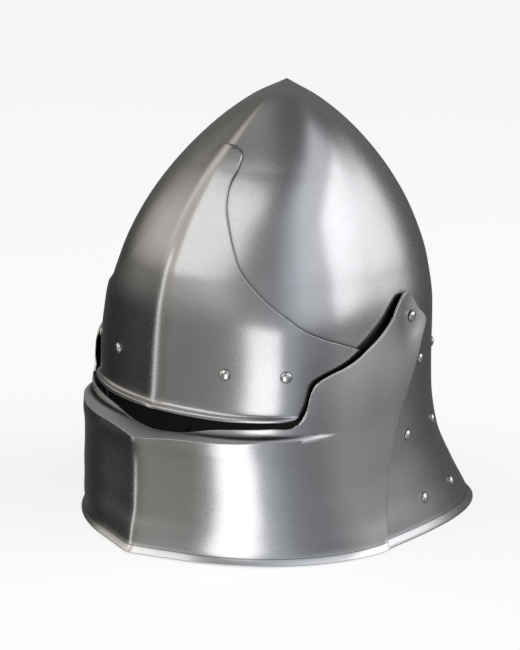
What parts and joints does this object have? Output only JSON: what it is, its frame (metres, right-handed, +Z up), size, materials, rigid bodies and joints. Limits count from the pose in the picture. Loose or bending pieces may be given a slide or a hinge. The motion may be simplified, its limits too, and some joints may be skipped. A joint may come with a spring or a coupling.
{
  "type": "sallet helmet",
  "caption": "Pointed steel helmet with a keeled brow plate, a flared tail and a deep hinged visor whose top edge leaves a narrow sight.",
  "frame": {"origin": "middle of the footprint, at the height of the rim", "axes": "+Z up, -Y the way the helmet faces, +X the wearer's left"},
  "size_m": [0.2658, 0.3444, 0.334],
  "materials": {
    "plate": "satin-polished bare steel",
    "rivet": "polished bare steel"
  },
  "bodies": {
    "helmet": {"skull": "plate", "brow_plate": "plate", "rivet_brow_inner_left": "rivet", "rivet_brow_outer_left": "rivet", "rivet_brow_inner_right": "rivet", "rivet_brow_outer_right": "rivet", "rivet_nape_upper_side_left": "rivet", "rivet_nape_upper_back_left": "rivet", "rivet_nape_middle_side_left": "rivet", "rivet_nape_middle_back_left": "rivet", "rivet_nape_lower_side_left": "rivet", "rivet_nape_lower_back_left": "rivet", "rivet_nape_upper_side_right": "rivet", "rivet_nape_upper_back_right": "rivet", "rivet_nape_middle_side_right": "rivet", "rivet_nape_middle_back_right": "rivet", "rivet_nape_lower_side_right": "rivet", "rivet_nape_lower_back_right": "rivet", "rivet_pivot_left": "rivet", "rivet_pivot_right": "rivet"},
    "visor": {"visor": "plate"}
  },
  "joints": [
    {"name": "visor", "type": "hinge", "parent": "helmet", "child": "visor", "pos_m": [0, 0.01335, 0.168], "axis": [-1, 0, 0], "range_deg": [0, 45]}
  ]
}
